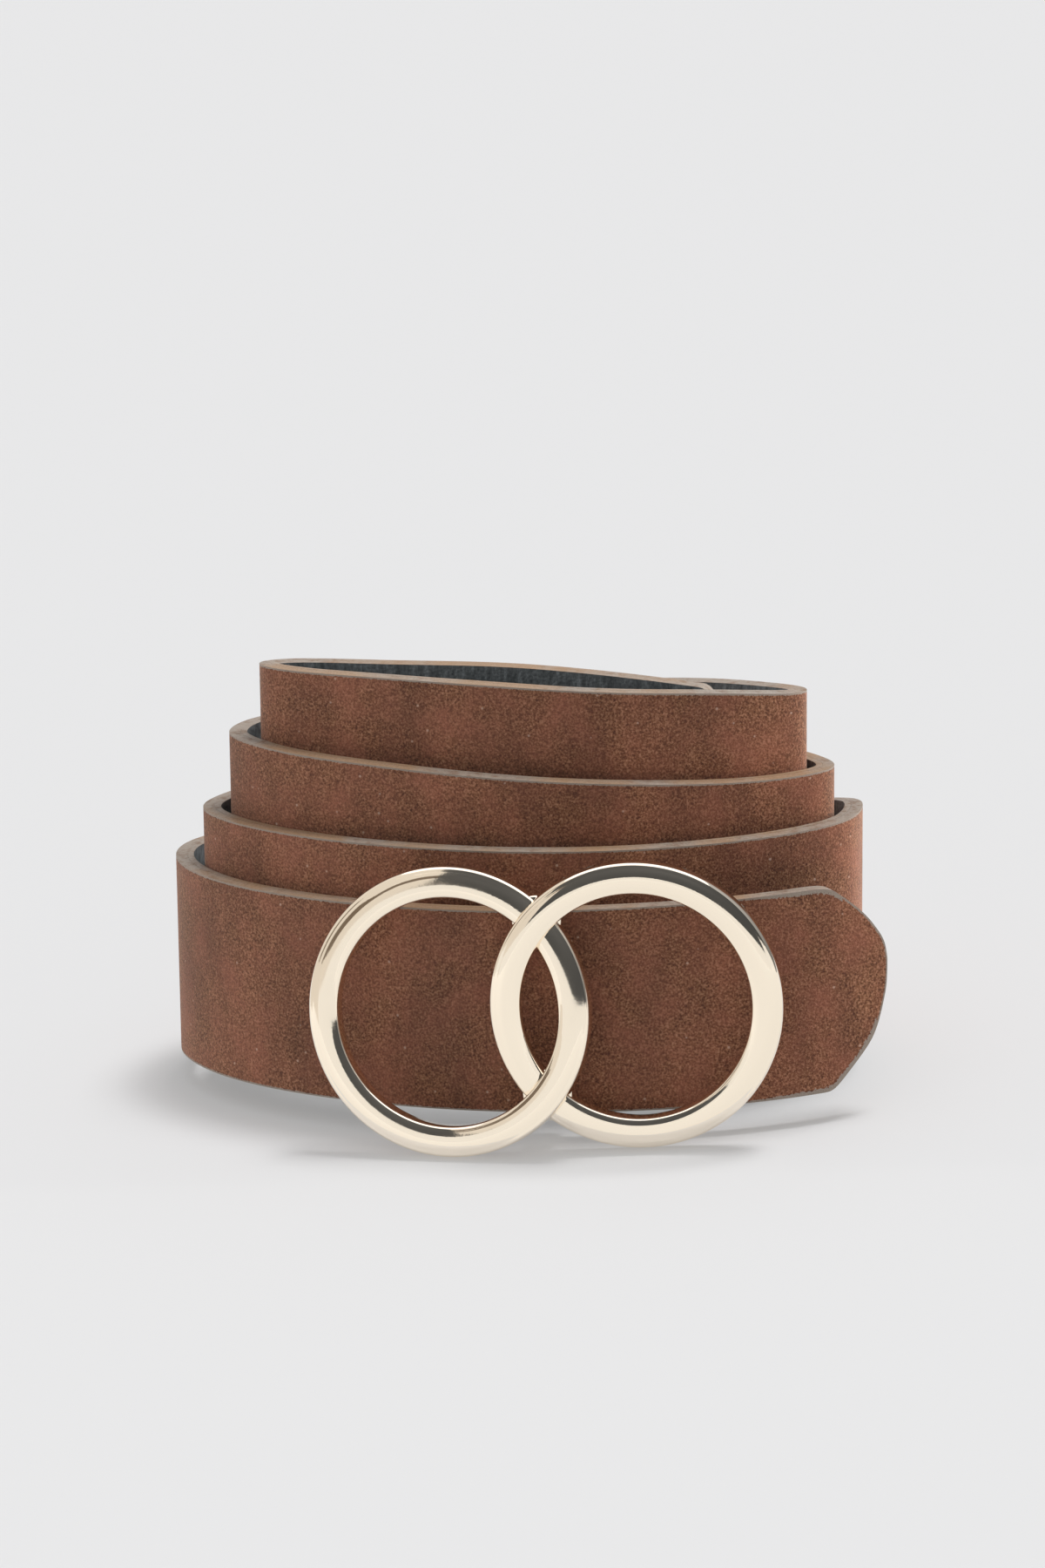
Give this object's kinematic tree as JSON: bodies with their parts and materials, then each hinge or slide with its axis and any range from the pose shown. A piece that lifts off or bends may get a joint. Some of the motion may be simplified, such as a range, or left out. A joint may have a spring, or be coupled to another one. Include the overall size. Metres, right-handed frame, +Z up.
{
  "type": "double ring belt",
  "caption": "Strap belt coiled on its edge in a climbing flat oval, suede outside and dark lining inside, with a cast buckle of two overlapping flat rings on its front.",
  "frame": {"origin": "on the floor under the middle of the coiled belt's bounding box", "axes": "+X along the coil towards the free tip, +Y to the back, the buckle faces -Y, +Z up"},
  "size_m": [0.1272, 0.0788, 0.0744],
  "materials": {
    "suede": "matte brown nap with a taupe painted edge",
    "lining": "dark fine-grained lining",
    "pale_gold": "polished pale gold plate"
  },
  "bodies": {
    "root": {"strap_face": "suede", "strap_lining": "lining", "double_ring_buckle": "pale_gold"}
  },
  "joints": []
}
